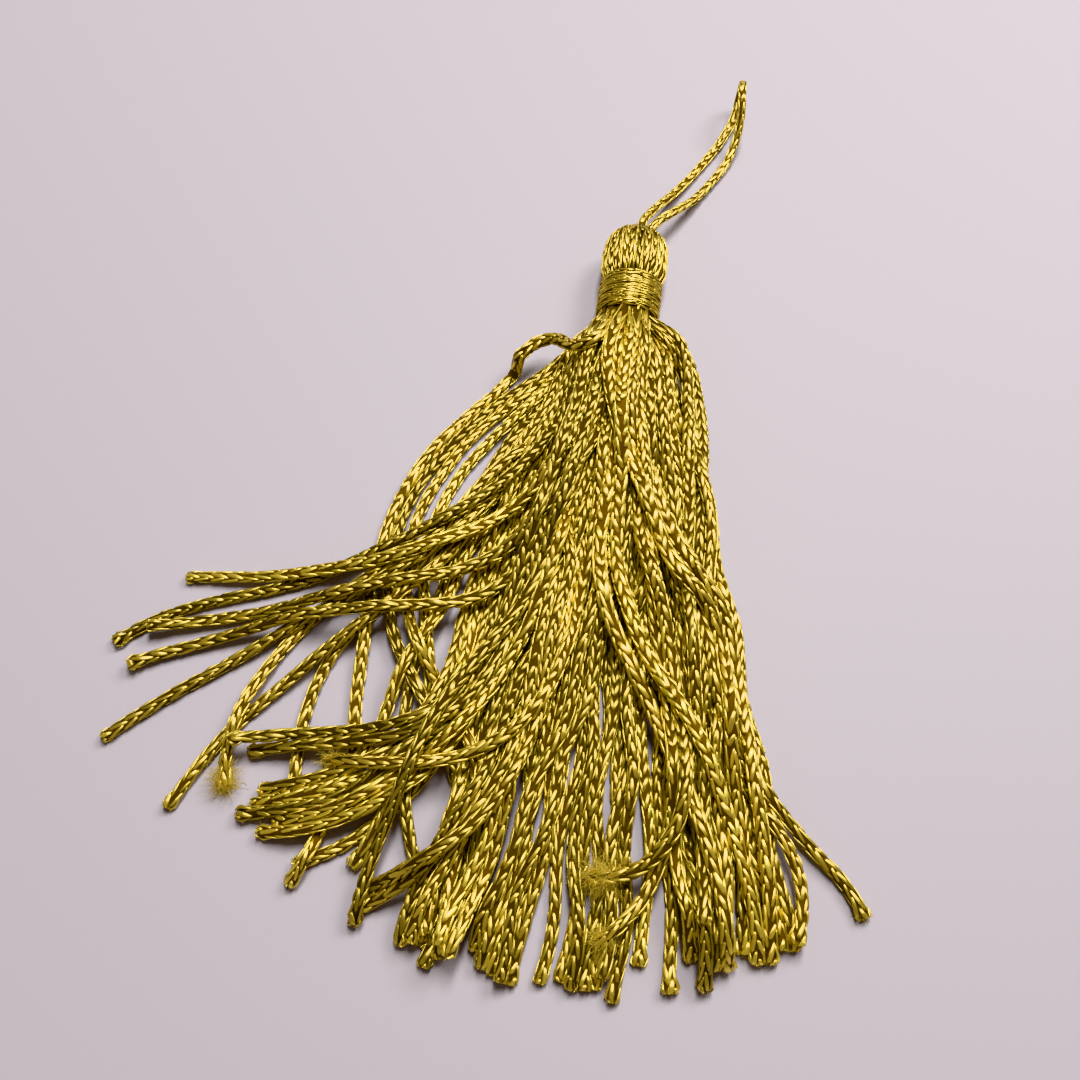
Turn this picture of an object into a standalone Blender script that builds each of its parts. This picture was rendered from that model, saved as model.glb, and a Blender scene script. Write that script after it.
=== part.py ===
"""Silk tassel lying on a surface: a hank of knitted silk cords folded over into a domed
head, bound with thread under the head, cut level at the far end, with a cord loop at the crown.

Frame: the origin is under the middle of the neck binding, on the surface.  +Y runs from the
skirt to the crown, +X to the right seen from above with the crown away, and +Z up.
All sizes below are in millimetres; MM turns them into metres.
"""
import math
import random

import bmesh
import bpy
import numpy as np
from mathutils.kdtree import KDTree

MM = 0.001

# --- Driving dimensions (mm) ---------------------------------------------------------------
GAP = 0.3                   # clearance between separate pieces
AXIS_HEIGHT = 3.9           # head and binding axis above the surface
HEIGHT_SHARE = 0.84         # lying, head and binding are this much lower than they are wide
HEAD_RIBS = 21              # strands seen round the head
HEAD_RIB_DEPTH = 0.3
HEAD_RIB_SHARE = 0.12       # most of the head's radius that a rib's depth may be
BINDING_TOP = 2.1           # ends of the binding along Y
BINDING_FOOT = -5.1
BINDING_RADIUS = 4.9        # half its width over the turns
BINDING_GROOVE = 0.17       # depth of the groove between two turns
BINDING_TURNS = 11
CORE_RADIUS = 3.9           # strands squeezed together inside the binding
STRAND_WIDTH = 1.5          # one knitted cord lying free, across
STRAND_THICK = 1.2          # and its height
NECK_STRAND = 0.76          # a cord's width and height where the binding squeezes it
SOLID_WIDTH_SHARE = 0.64    # four-sided strand solid: its width over the cord's,
SOLID_THICK_SHARE = 0.72    # and its height over the cord's, so that neighbours stand apart
SOLID_TOLERANCE = 0.48      # how far a strand solid may stray from its smooth route
LOOP_DIAMETER = 1.4
LOOP_POINT_STEP = 2.8       # distance between the points of the loop's curve
CURVE_SUBSTEPS = 20         # fine points between two points of a route

# --- Silk -------------------------------------------------------------------------------
GOLD = (0.36, 0.24, 0.03, 1.0)
DARK_GOLD = (0.24, 0.16, 0.02, 1.0)
SILK_ROUGHNESS = 0.38
THREAD_ROUGHNESS = 0.32
SILK_METALLIC = 0.3

# --- Domed head: stations along its axis (mm) --------------------------------------------------
# y, radius over the strands
HEAD_PROFILE = (
    (2.40, 4.60),
    (3.20, 4.95),
    (4.60, 5.15),
    (6.50, 5.20),
    (8.60, 5.05),
    (10.2, 4.60),
    (11.5, 3.80),
    (12.4, 2.80),
    (12.9, 1.50),
)
CROWN_Y = 13.1
ROUND_SEGMENTS = 36

# --- Strands in the neck: rings of the squeezed bundle, from the outside in ------------------
# radius of the ring's centre line (mm), strands in it
NECK_RINGS = (
    (3.58, 28),
    (2.78, 20),
    (1.98, 14),
    (1.18, 8),
    (0.34, 3),
)

# --- Locks of strands ------------------------------------------------------------------------
# One row for each lock: how many strands run side by side, how high the lock lies in the heap
# (0 bottom, 1 top), the way it heads at the neck and after each fifth of its run, the distance
# between its strands, and the length from the neck to the cut end.
# A heading is in degrees from straight away from the head (-Y), positive towards +X.
# name, strands, level, h0, h1, h2, h3, h4, h5, spacing mm, length mm
LOCKS = (
    ("column_far",     1, 0.10,  -28,  -28,  -23,  -40,   -3,   14, 1.6,  92),
    ("column_mid",     1, 0.12,  -30,  -28,  -16,  -10,   10,   34, 1.6,  93),
    ("column_near",    1, 0.16,  -40,  -38,  -18,   18,   -3,  -30, 1.6,  94),
    ("left_edge",      2, 0.30,  -50,  -43,  -20,   14,   40,    0, 1.6,  94),
    ("slip",           1, 0.20,  -20,  -18,  -12,   -4,  -30,  -70, 1.6,  94),
    ("fan_low",        1, 0.50,  -27,  -26,  -33,  -52,  -50,  -46, 1.6,  95),
    ("fan_hook_far",   1, 0.44,  -27,  -28,  -31,  -50,  -20,   14, 1.6,  92),
    ("fan_hook_near",  1, 0.40,  -28,  -28,  -21,  -40,  -38,  -18, 1.6,  94),
    ("fan_top",        1, 0.76,  -12,  -14,  -38,  -64,  -78,  -84, 1.6,  82),
    ("fan_long",       1, 0.64,  -16,  -22,  -48,  -60,  -68,  -45, 1.6,  92),
    ("fan_level",      1, 0.84,  -10,   -8,  -34,  -70,  -68,  -76, 1.6,  93),
    ("fan_over",       1, 0.90,   -8,   -6,  -28,  -78,  -70,  -60, 1.6, 100),
    ("sweep_far",      1, 0.86,  -16,  -12,  -10,  -22,  -76,  -78, 1.6,  95),
    ("sweep_mid",      1, 0.80,  -12,  -10,   -8,  -18,  -76,  -76, 1.6,  95),
    ("sweep_back",     1, 0.88,   -2,    0,   -5,   -8,  -66, -104, 1.6,  93),
    ("sweep_low",      4, 0.60,  -19,  -17,  -13,   -6,  -49,  -84, 1.6,  95),
    ("sweep_near",     1, 0.68,   -8,   -8,   -8,  -24,  -48,  -78, 1.6,  96),
    ("toe_far",        1, 0.70,   -6,   -4,   -4,   -4,  -30,  -68, 1.6,  94),
    ("toe_near",       1, 0.72,   -6,   -5,   -4,   -5,  -25,  -66, 1.6,  95),
    ("cross_over",     1, 0.95,   -8,   -8,   -8,  -25,  -12,   -4, 1.6,  96),
    ("arch",           1, 0.98,   -8,  -26,  -34,   -6,    4,   12, 1.6,  96),
    ("inner_left",     3, 0.24,  -20,  -16,  -10,   -6,   -8,  -12, 1.7,  94),
    ("foot_a",         5, 0.50,   -8,   -4,   -5,  -13,  -18,  -12, 1.8,  94),
    ("foot_b",         5, 0.34,   -4,   -2,    0,   -7,  -10,   -8, 1.8,  95),
    ("foot_c",         6, 0.28,    0,    0,    2,    0,   -2,   -2, 1.8,  95),
    ("foot_d",         5, 0.40,    6,    5,    6,    7,    5,    3, 1.8,  95),
    ("foot_e",         4, 0.46,   14,   10,    8,   11,    9,    6, 1.8,  93),
    ("foot_f",         5, 0.36,   26,   15,    9,    8,    8,    4, 1.7,  91),
    ("foot_g",         3, 0.54,   42,   17,    8,    8,   11,    4, 1.6,  91),
    ("right_edge",     2, 0.66,   62,   10,    3,   10,    9,   -1, 1.6,  92),
    ("right_bow",      1, 0.58,   34,   15,   10,   15,   46,  -16, 1.6,  93),
    ("right_lone",     1, 0.56,   30,   15,   11,   21,   44,   30, 1.6,  93),
    ("diagonal",       2, 0.93,  -10,   19,   26,   12,   12,    4, 1.6,  94),
    ("diagonal_low",   2, 0.92,    0,    2,    8,   34,   24,    8, 1.6,  94),
    ("hook_frayed",    1, 0.97,    8,   11,   13,   17,   -4,  -96, 1.6,  90),
    ("hook_under",     1, 0.94,   10,   12,   14,   16,   -2,  -52, 1.6,  93),
    ("short_end",      1, 0.91,   -6,   -4,   -2,    2,    8,   20, 1.6,  36),
)

# Locks whose strands keep side by side, as the lone strands keep to their own lock
CLOSE_LOCKS = ("left_edge", "sweep_low", "right_edge", "diagonal", "diagonal_low")

# Turns tighter than the stations above: lock, where along it (mm), over what length (mm), degrees
KINKS = (
    ("arch",        13.5, 5.4, -112),
    ("right_edge",   3.0, 6.0,   10),
    ("diagonal",    46.0, 5.0,   27),
    ("right_lone",  84.0, 4.0,   10),
)

# Locks that change their height in the heap on their way: lock, from where (mm), level
DIVES = (
    ("arch",  0.0, 1.05),
    ("arch", 24.0, 0.14),
)

STEP = 1.0                  # distance between the points of a worked-out strand
SEED = 11

# --- How a strand strays from its lock -------------------------------------------------------
CUT_SPREAD = 1.2            # most that a strand is longer or shorter than its lock (mm)
WANDER = 9.0                # degrees by which a strand strays from its lock
LONE_WANDER = 2.0           # and by which a lone strand or one of a close lock strays
WANDER_RUN = 34.0           # run over which the straying grows (mm)
WAVE_SHORT = 16.0           # shortest and longest waves of the straying (mm)
WAVE_LONG = 32.0
SPACING_CHANCE = 0.35       # how unevenly they lie side by side, over their spacing
LEVEL_STEP = 0.012          # level between a lock's own strands
LEVEL_SPREAD = 0.08         # and the chance added to it

# --- From the neck to the surface (mm) -------------------------------------------------------
FLARE = 20.0                # run over which the strands of a lock spread from the neck
SWELL = 8.0                 # run over which a squeezed strand gets back its full size
DRAPE = 30.0                # run over which the heap falls from the neck to the surface
HEAP_HEIGHT = 7.0           # rough height of the heap just off the neck
HEAP_THINNING = 45.0        # run over which it falls to a third
TIER_STRANDS = 9            # strands in one layer of the neck
TIER_RUN = 14.0             # run at which a layer's strands are put in order from left to right
ROOT_DEPTH = 1.0            # how far a strand's root goes into the core

# --- Easing the strands apart ----------------------------------------------------------------
PACK_ROUNDS = 500           # times that the strands are eased apart
SINKING_SHARE = 0.8         # share of the rounds in which they also sink
PAIR_ROUNDS = 8             # rounds between two searches for neighbours
PAIR_REACH = 2.2            # distance within which strands can come to touch (mm)
SINK_STEP = 0.05            # how far a strand sinks in a round (mm)
ROOM_SHARE = 1.12           # room that a strand keeps round itself, over its own size
CROSSING_SINE = 0.09        # strands at a sharper angle than this cross, one over the other
DEEP_SHARE = 0.3            # and so do two that share more than this of their room
MOST_LIFT = 0.4             # most that a crossing strand is lifted in a round (mm)
PUSH_LIMIT = 1.6            # pushes on one point that add up in full
EASING = 0.5                # how strongly a strand's bends are eased in a round
PLAN_PULL = 0.01            # share of its sideways move that a strand gives back in a round
FIXED_RUN = 0.5             # run at the root that never moves (mm)
FREEING_RUN = 5.0           # run over which a strand becomes free to move (mm)

# --- Hanging loop: route of the doubled cord, from crown to tip and back (mm) -----------------
LOOP_ROUTE = (
    (0.3, 13.5, 4.5),
    (0.5, 14.9, 4.3),
    (1.4, 17.4, 3.4),
    (3.0, 20.6, 2.5),
    (5.0, 24.4, 1.3),
    (7.0, 28.2, 0.8),
    (8.9, 31.8, 0.75),
    (10.6, 35.2, 0.75),
    (12.0, 38.6, 0.75),
    (13.0, 41.6, 0.75),
    (13.6, 44.2, 0.9),
    (13.9, 46.4, 1.9),
    (14.0, 47.2, 3.7),
    (14.0, 46.2, 5.7),
    (13.9, 44.0, 6.6),
    (14.1, 41.6, 5.9),
    (14.3, 39.4, 4.4),
    (14.1, 37.0, 2.7),
    (13.5, 34.4, 1.4),
    (12.6, 31.8, 0.85),
    (11.2, 28.9, 0.75),
    (9.6, 25.8, 0.9),
    (7.9, 22.6, 1.6),
    (6.0, 19.6, 2.8),
    (4.2, 17.0, 3.6),
    (2.9, 15.0, 4.3),
    (2.1, 13.4, 4.5),
)


def smoothstep(value):
    value = np.clip(value, 0.0, 1.0)
    return value * value * (3.0 - 2.0 * value)


def interpolate_stations(stations, places):
    """Smooth (Catmull-Rom) reading of evenly spaced values at places from 0 to 1."""
    values = np.array([2 * stations[0] - stations[1], *stations, 2 * stations[-1] - stations[-2]])
    u = np.clip(places, 0.0, 1.0) * (len(stations) - 1)
    index = np.minimum(u.astype(int), len(stations) - 2)
    t = u - index
    a, b, c, d = (values[index + k] for k in range(4))
    return 0.5 * (2 * b + (c - a) * t + (2 * a - 5 * b + 4 * c - d) * t**2
                  + (3 * b - a - 3 * c + d) * t**3)


def neck_slots():
    """Places (x, z) of the strands where they leave the binding, lowest first."""
    slots = []
    for radius, count in NECK_RINGS:
        for k in range(count):
            angle = 2 * math.pi * (k + 0.5) / count
            height = AXIS_HEIGHT - radius * HEIGHT_SHARE * math.cos(angle)
            slots.append((radius * math.sin(angle), height))
    return sorted(slots, key=lambda slot: slot[1])


def lock_plan(lock, rng):
    """Plans (x, y) of one lock's strands on the surface, with their levels."""
    name, strands, level, *stations, spacing, length = lock
    plans = []
    for k in range(strands):
        run = length + rng.uniform(-CUT_SPREAD, CUT_SPREAD)
        s = np.arange(0.0, run, STEP)
        heading = interpolate_stations(stations, s / length)
        for kink_name, at, over, turn in KINKS:
            if kink_name == name:
                heading = heading + turn * np.exp(-(((s - at) / over) ** 2))
        phase = rng.uniform(0.0, 2 * math.pi)
        wave = rng.uniform(WAVE_SHORT, WAVE_LONG)
        wander = LONE_WANDER if strands == 1 or name in CLOSE_LOCKS else WANDER
        stray = rng.uniform(-wander, wander) * smoothstep(s / WANDER_RUN)
        heading = heading + stray + wander * np.sin(phase + 2 * math.pi * s / wave)
        angle = np.radians(heading)
        x = np.concatenate(([0.0], np.cumsum(np.sin(angle))[:-1])) * STEP
        y = np.concatenate(([0.0], -np.cumsum(np.cos(angle))[:-1])) * STEP
        place = k - (strands - 1) / 2 + rng.uniform(-SPACING_CHANCE, SPACING_CHANCE)
        side = spacing * place * smoothstep(s / FLARE)
        x = x + side * np.cos(angle)
        y = y + side * np.sin(angle)
        rank = level + LEVEL_STEP * k + rng.uniform(-LEVEL_SPREAD, LEVEL_SPREAD)
        plans.append((rank, s, x, y, name))
    return plans


def first_heights(strands):
    """Rough heights before packing: the strands' order kept, sinking towards the surface."""
    for strand in strands:
        s = strand["s"]
        grown = smoothstep(s / SWELL)
        strand["width"] = NECK_STRAND + (STRAND_WIDTH - NECK_STRAND) * grown
        strand["thick"] = NECK_STRAND + (STRAND_THICK - NECK_STRAND) * grown
        sunk = smoothstep(s / DRAPE)
        heap = HEAP_HEIGHT * np.exp(-s / HEAP_THINNING)
        floor_side = strand["thick"] / 2 + strand["order"] * heap
        strand["z"] = strand["slot"][1] * (1 - sunk) + floor_side * sunk


def close_pairs(points, owner, reach):
    """Index pairs of points of different strands that lie within reach of each other."""
    tree = KDTree(len(points))
    for index, point in enumerate(points):
        tree.insert(point, index)
    tree.balance()
    first, second = [], []
    for index, point in enumerate(points):
        for _, other, _ in tree.find_range(point, reach):
            if other > index and owner[other] != owner[index]:
                first.append(index)
                second.append(other)
    return np.array(first), np.array(second)


def padded_rows(strands, key, count):
    """One value of every strand as rows of the same length, each end value repeated."""
    rows = []
    for strand in strands:
        short = count - len(strand["s"])
        widths = ((0, short),) + ((0, 0),) * (strand[key].ndim - 1)
        rows.append(np.pad(strand[key], widths, mode="edge"))
    return np.array(rows)


def pair_pushes(points, order, room, heading, first, second):
    """How far each point is pushed off its neighbours: apart, or over and under at a crossing."""
    between = points[first] - points[second]
    apart = np.maximum(np.linalg.norm(between, axis=1), 1e-4)
    needed = room[first] + room[second]
    overlap = np.clip(needed - apart, 0.0, None)
    push = between * (overlap / apart * 0.5)[:, None]
    turned = heading[first, 0] * heading[second, 1] - heading[first, 1] * heading[second, 0]
    crossing = (np.abs(turned) > CROSSING_SINE) | (overlap > DEEP_SHARE * needed)
    level = np.hypot(between[:, 0], between[:, 1])
    rise = np.sqrt(np.clip(needed**2 - level**2, 0.0, None))
    upper = np.where(order[first] > order[second], 1.0, -1.0)
    lift = np.clip(rise - upper * between[:, 2], 0.0, MOST_LIFT) * (rise > 0)
    push[crossing] = 0.0
    push[crossing, 2] = 0.5 * (upper * lift)[crossing]
    touching = np.where(crossing, lift, overlap) > 0
    total = np.zeros_like(points)
    for axis in range(3):
        total[:, axis] += np.bincount(first, push[:, axis], len(points))
        total[:, axis] -= np.bincount(second, push[:, axis], len(points))
    touches = np.bincount(first, touching, len(points)) + np.bincount(second, touching, len(points))
    return total * (PUSH_LIMIT / np.maximum(touches, PUSH_LIMIT))[:, None]


def pack_strands(strands):
    """Ease strands apart, and down, until each lies on the surface or on its neighbours."""
    count = max(len(strand["s"]) for strand in strands)
    shape = (len(strands), count)
    present = np.array([np.arange(count) < len(strand["s"]) for strand in strands])
    last = present & ~np.roll(present, -1, axis=1)
    inside = present.ravel()
    run = np.arange(count) * STEP
    free = smoothstep((run - FIXED_RUN) / FREEING_RUN)[None, :, None]
    loose = smoothstep(run / FLARE)[None, :]

    thick = padded_rows(strands, "thick", count)
    width = padded_rows(strands, "width", count)
    plan = np.dstack((padded_rows(strands, "xy", count), padded_rows(strands, "z", count)))
    lowest_move = thick / 2 - plan[:, :, 2]
    room = ((width + thick) / 4 * ROOM_SHARE).ravel()[inside]
    owner = np.repeat(np.arange(shape[0]), count)[inside]
    order = padded_rows(strands, "order", count).ravel()[inside]
    heading = np.gradient(plan[:, :, :2], axis=1)
    heading /= np.maximum(np.linalg.norm(heading, axis=2, keepdims=True), 1e-6)
    heading = heading.reshape(-1, 2)[inside]

    moved = np.zeros(shape + (3,))
    for step in range(PACK_ROUNDS):
        points = (plan + moved).reshape(-1, 3)[inside]
        if step % PAIR_ROUNDS == 0:
            first, second = close_pairs(points, owner, PAIR_REACH)
        move = np.zeros((shape[0] * count, 3))
        move[inside] = pair_pushes(points, order, room, heading, first, second)
        move = move.reshape(shape + (3,))
        sinking = step < PACK_ROUNDS * SINKING_SHARE
        if sinking:
            move[:, :, 2] -= SINK_STEP * loose
        moved += move * free
        if sinking:
            moved[:, :, :2] *= 1.0 - PLAN_PULL
        bend = 0.5 * (np.roll(moved, 1, axis=1) + np.roll(moved, -1, axis=1)) - moved
        bend[:, 0] = 0.0
        bend[last] = 0.0
        moved += EASING * bend * free
        moved[:, :, 2] = np.maximum(moved[:, :, 2], lowest_move)
    for row, strand in enumerate(strands):
        length = len(strand["s"])
        final = plan[row, :length] + moved[row, :length]
        strand["xy"] = final[:, :2]
        strand["z"] = final[:, 2]


def strand_routes():
    """All strands from the neck to their cut ends, as rows of points, widths and heights."""
    rng = random.Random(SEED)
    plans = [plan for lock in LOCKS for plan in lock_plan(lock, rng)]
    plans.sort(key=lambda plan: plan[0])
    slots = neck_slots()[-len(plans):]
    strands = []
    for start in range(0, len(plans), TIER_STRANDS):
        tier = plans[start:start + TIER_STRANDS]
        tier.sort(key=lambda plan: plan[2][int(TIER_RUN / STEP)])
        tier_slots = sorted(slots[start:start + TIER_STRANDS])
        for (_, s, x, y, name), slot in zip(tier, tier_slots):
            keep = 1.0 - smoothstep(s / FLARE)
            xy = np.column_stack((x + slot[0] * keep, y + BINDING_FOOT - GAP))
            strands.append({"name": name, "s": s, "xy": xy, "slot": slot})
    strands.sort(key=lambda strand: strand["slot"][1])
    for rank, strand in enumerate(strands):
        strand["order"] = np.full(len(strand["s"]), rank / (len(strands) - 1))
        for dive_name, start, level in DIVES:
            if dive_name == strand["name"]:
                strand["order"][strand["s"] > start] = level
    first_heights(strands)
    pack_strands(strands)
    return strands


def thin_out(points, tolerance):
    """Indices of the points that keep a polyline within tolerance (Douglas-Peucker)."""
    keep = {0, len(points) - 1}
    spans = [(0, len(points) - 1)]
    while spans:
        first, last = spans.pop()
        if last - first < 2:
            continue
        chord = points[last] - points[first]
        length = np.linalg.norm(chord)
        offset = points[first + 1:last] - points[first]
        along = np.clip(offset @ chord / length**2, 0.0, 1.0)
        away = np.linalg.norm(offset - along[:, None] * chord, axis=1)
        worst = int(np.argmax(away))
        if away[worst] > tolerance:
            middle = first + 1 + worst
            keep.add(middle)
            spans += [(first, middle), (middle, last)]
    return sorted(keep)


def smooth_path(route, spacing):
    """Points at even spacing on a smooth curve through the route's points."""
    route = np.array(route)
    ends = np.vstack((2 * route[0] - route[1], route, 2 * route[-1] - route[-2]))
    fine = []
    for a, b, c, d in zip(ends, ends[1:], ends[2:], ends[3:]):
        for t in np.linspace(0.0, 1.0, CURVE_SUBSTEPS, endpoint=False):
            fine.append(0.5 * (2 * b + (c - a) * t + (2 * a - 5 * b + 4 * c - d) * t**2
                               + (3 * b - a - 3 * c + d) * t**3))
    fine.append(route[-1])
    fine = np.array(fine)
    run = np.concatenate(([0.0], np.cumsum(np.linalg.norm(np.diff(fine, axis=0), axis=1))))
    places = np.linspace(0.0, run[-1], int(round(run[-1] / spacing)) + 1)
    return np.column_stack([np.interp(places, run, fine[:, axis]) for axis in range(3)])


def silk_material(name, colour, roughness):
    material = bpy.data.materials.new(name)
    material.use_nodes = True
    shader = material.node_tree.nodes["Principled BSDF"]
    shader.inputs["Base Color"].default_value = colour
    shader.inputs["Roughness"].default_value = roughness
    shader.inputs["Metallic"].default_value = SILK_METALLIC
    return material


def add_object(name, mesh, material):
    thing = bpy.data.objects.new(name, mesh)
    thing.data.materials.append(material)
    bpy.context.collection.objects.link(thing)
    return thing


def turned_mesh(name, rings, segments, closed_profile):
    """A body turned about the head's axis, lying with its underside flat on the surface.

    rings gives (y, radius at even spokes, radius at odd spokes); a radius of 0 is a point.
    """
    bm = bmesh.new()
    rows = []
    for y, even, odd in rings:
        if even == 0:
            rows.append([bm.verts.new((0.0, y * MM, AXIS_HEIGHT * MM))])
            continue
        row = []
        for k in range(segments):
            angle = 2 * math.pi * k / segments
            radius = odd if k % 2 else even
            height = max(AXIS_HEIGHT - radius * HEIGHT_SHARE * math.cos(angle), 0.0)
            row.append(bm.verts.new((radius * math.sin(angle) * MM, y * MM, height * MM)))
        rows.append(row)
    pairs = list(zip(rows, rows[1:]))
    if closed_profile:
        pairs.append((rows[-1], rows[0]))
    for low, high in pairs:
        for k in range(segments):
            n = (k + 1) % segments
            corners = [low[k % len(low)], low[n % len(low)], high[n % len(high)], high[k % len(high)]]
            bm.faces.new(list(dict.fromkeys(corners)))
    bmesh.ops.triangulate(bm, faces=bm.faces)
    bmesh.ops.recalc_face_normals(bm, faces=bm.faces)
    mesh = bpy.data.meshes.new(name)
    bm.to_mesh(mesh)
    bm.free()
    return mesh


def head_mesh():
    """The domed head with its ribs, and the squeezed core that runs through the binding."""
    foot, shoulder = BINDING_FOOT - GAP, BINDING_TOP + GAP
    rings = [(foot, 0, 0), (foot, CORE_RADIUS, CORE_RADIUS), (shoulder, CORE_RADIUS, CORE_RADIUS)]
    for y, radius in HEAD_PROFILE:
        depth = min(HEAD_RIB_DEPTH, HEAD_RIB_SHARE * radius)
        rings.append((y, radius, radius - depth))
    rings.append((CROWN_Y, 0, 0))
    return turned_mesh("head", rings, 2 * HEAD_RIBS, closed_profile=False)


def binding_mesh():
    """The wrapped thread as one ring, with a ridge for each turn."""
    inner = CORE_RADIUS + GAP / HEIGHT_SHARE
    groove = BINDING_RADIUS - BINDING_GROOVE
    rings = [(BINDING_FOOT, inner, inner)]
    for k in range(2 * BINDING_TURNS + 1):
        y = BINDING_FOOT + (BINDING_TOP - BINDING_FOOT) * k / (2 * BINDING_TURNS)
        radius = BINDING_RADIUS if k % 2 else groove
        rings.append((y, radius, radius))
    rings.append((BINDING_TOP, inner, inner))
    return turned_mesh("neck_binding", rings, ROUND_SEGMENTS, closed_profile=True)


def add_strand(bm, strand):
    """One four-sided strand: a flat-bottomed bar along the route, its root inside the core."""
    xy, z = strand["xy"], strand["z"]
    keep = thin_out(np.column_stack((xy, z)), SOLID_TOLERANCE)
    run = np.gradient(xy, axis=0)
    run /= np.linalg.norm(run, axis=1, keepdims=True)
    slices = [(xy[0, 0], xy[0, 1] + ROOT_DEPTH, z[0], run[0] * (0.0, 1.0),
               strand["width"][0], strand["thick"][0])]
    for k in keep:
        slices.append((xy[k, 0], xy[k, 1], z[k], run[k], strand["width"][k], strand["thick"][k]))
    rows = []
    for x, y, centre, heading, width, thick in slices:
        half = width * SOLID_WIDTH_SHARE / 2
        low = max(centre - thick / 2, 0.0)
        high = low + thick * SOLID_THICK_SHARE
        across = np.array((-heading[1], heading[0])) * half
        rows.append([bm.verts.new(((x + side * across[0]) * MM, (y + side * across[1]) * MM, level * MM))
                     for side, level in ((-1, low), (1, low), (1, high), (-1, high))])
    for near, far in zip(rows, rows[1:]):
        for k in range(4):
            n = (k + 1) % 4
            bm.faces.new((near[k], near[n], far[n], far[k]))
    bm.faces.new(reversed(rows[0]))
    bm.faces.new(rows[-1])


def fill_pockets(mesh):
    """Keep the outer shell alone: the others are pockets closed in between crossing strands."""
    bm = bmesh.new()
    bm.from_mesh(mesh)
    unseen = set(bm.faces)
    shells = []
    while unseen:
        shell = []
        waiting = [unseen.pop()]
        while waiting:
            face = waiting.pop()
            shell.append(face)
            for edge in face.edges:
                for other in edge.link_faces:
                    if other in unseen:
                        unseen.discard(other)
                        waiting.append(other)
        shells.append(shell)
    shells.sort(key=len)
    for shell in shells[:-1]:
        bmesh.ops.delete(bm, geom=shell, context="FACES")
    bm.to_mesh(mesh)
    bm.free()


def hank_mesh():
    """Head and strands joined into one body, fused only at the strands' roots."""
    bm = bmesh.new()
    for strand in strand_routes():
        add_strand(bm, strand)
    bmesh.ops.triangulate(bm, faces=bm.faces)
    bmesh.ops.recalc_face_normals(bm, faces=bm.faces)
    skirt = bpy.data.meshes.new("skirt")
    bm.to_mesh(skirt)
    bm.free()
    head = bpy.data.objects.new("head", head_mesh())
    strands = bpy.data.objects.new("strands", skirt)
    for thing in (head, strands):
        bpy.context.collection.objects.link(thing)
    union = head.modifiers.new("union", "BOOLEAN")
    union.operation = "UNION"
    union.solver = "EXACT"
    union.use_self = True
    union.object = strands
    seen = head.evaluated_get(bpy.context.evaluated_depsgraph_get())
    joined = bpy.data.meshes.new_from_object(seen)
    for thing in (head, strands):
        bpy.data.objects.remove(thing)
    fill_pockets(joined)
    return joined


def loop_curve():
    """The doubled cord as one round tube along its route."""
    points = smooth_path(LOOP_ROUTE, LOOP_POINT_STEP)
    curve = bpy.data.curves.new("hanging_loop", "CURVE")
    curve.dimensions = "3D"
    curve.bevel_depth = LOOP_DIAMETER / 2 * MM
    curve.bevel_resolution = 2
    curve.use_fill_caps = True
    spline = curve.splines.new("POLY")
    spline.points.add(len(points) - 1)
    for point, place in zip(spline.points, points):
        point.co = (*(place * MM), 1.0)
    return curve


def build():
    for thing in list(bpy.data.objects):
        bpy.data.objects.remove(thing)
    silk = silk_material("silk_cord", GOLD, SILK_ROUGHNESS)
    loop_cord = silk_material("loop_cord", GOLD, SILK_ROUGHNESS)
    thread = silk_material("binding_thread", DARK_GOLD, THREAD_ROUGHNESS)
    add_object("strand_hank", hank_mesh(), silk)
    add_object("neck_binding", binding_mesh(), thread)
    add_object("hanging_loop", loop_curve(), loop_cord)


build()
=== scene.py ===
"""Looks of the silk tassel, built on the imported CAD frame.

Every strand follows the route that the part's own source gives it, from the same tables of
locks; here each is a knitted cord, with its stitches as separate satin leaves of yarn.
Sizes are in millimetres until MM turns them into metres.
"""
import math
import random

import bpy
import numpy as np
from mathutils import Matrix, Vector
from mathutils.kdtree import KDTree


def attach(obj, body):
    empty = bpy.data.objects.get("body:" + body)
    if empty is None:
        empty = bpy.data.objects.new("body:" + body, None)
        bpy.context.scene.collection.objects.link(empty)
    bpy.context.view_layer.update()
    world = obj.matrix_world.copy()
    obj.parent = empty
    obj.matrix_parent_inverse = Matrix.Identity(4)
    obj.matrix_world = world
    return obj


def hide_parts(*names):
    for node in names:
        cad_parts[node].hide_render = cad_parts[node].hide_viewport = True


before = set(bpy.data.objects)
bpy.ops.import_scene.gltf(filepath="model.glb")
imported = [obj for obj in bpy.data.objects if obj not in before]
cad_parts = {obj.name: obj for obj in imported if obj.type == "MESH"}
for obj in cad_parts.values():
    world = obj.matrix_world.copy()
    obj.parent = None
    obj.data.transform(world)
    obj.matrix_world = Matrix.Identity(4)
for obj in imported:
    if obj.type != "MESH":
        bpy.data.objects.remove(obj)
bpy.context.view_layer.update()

MM = 0.001                  # a millimetre in metres, which are the scene's units
TINY = 1e-9                 # keeps a division by nothing from failing

# --- Driving dimensions (mm) -----------------------------------------------------------------
GAP = 0.3                   # clearance between separate pieces
AXIS_HEIGHT = 3.9           # head and binding axis above the surface
HEIGHT_SHARE = 0.84         # lying, head and binding are this much lower than they are wide
BINDING_TOP = 2.1           # ends of the binding along Y
BINDING_FOOT = -5.1
BINDING_RADIUS = 4.9        # half its width over the turns
BINDING_TURNS = 11
STRAND_WIDTH = 1.5          # one knitted cord lying free, across
STRAND_THICK = 1.2          # and its height
NECK_STRAND = 0.76          # a cord's width and height where the binding squeezes it
LOOP_DIAMETER = 1.4
CURVE_SUBSTEPS = 20         # fine points between two points of a route

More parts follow.
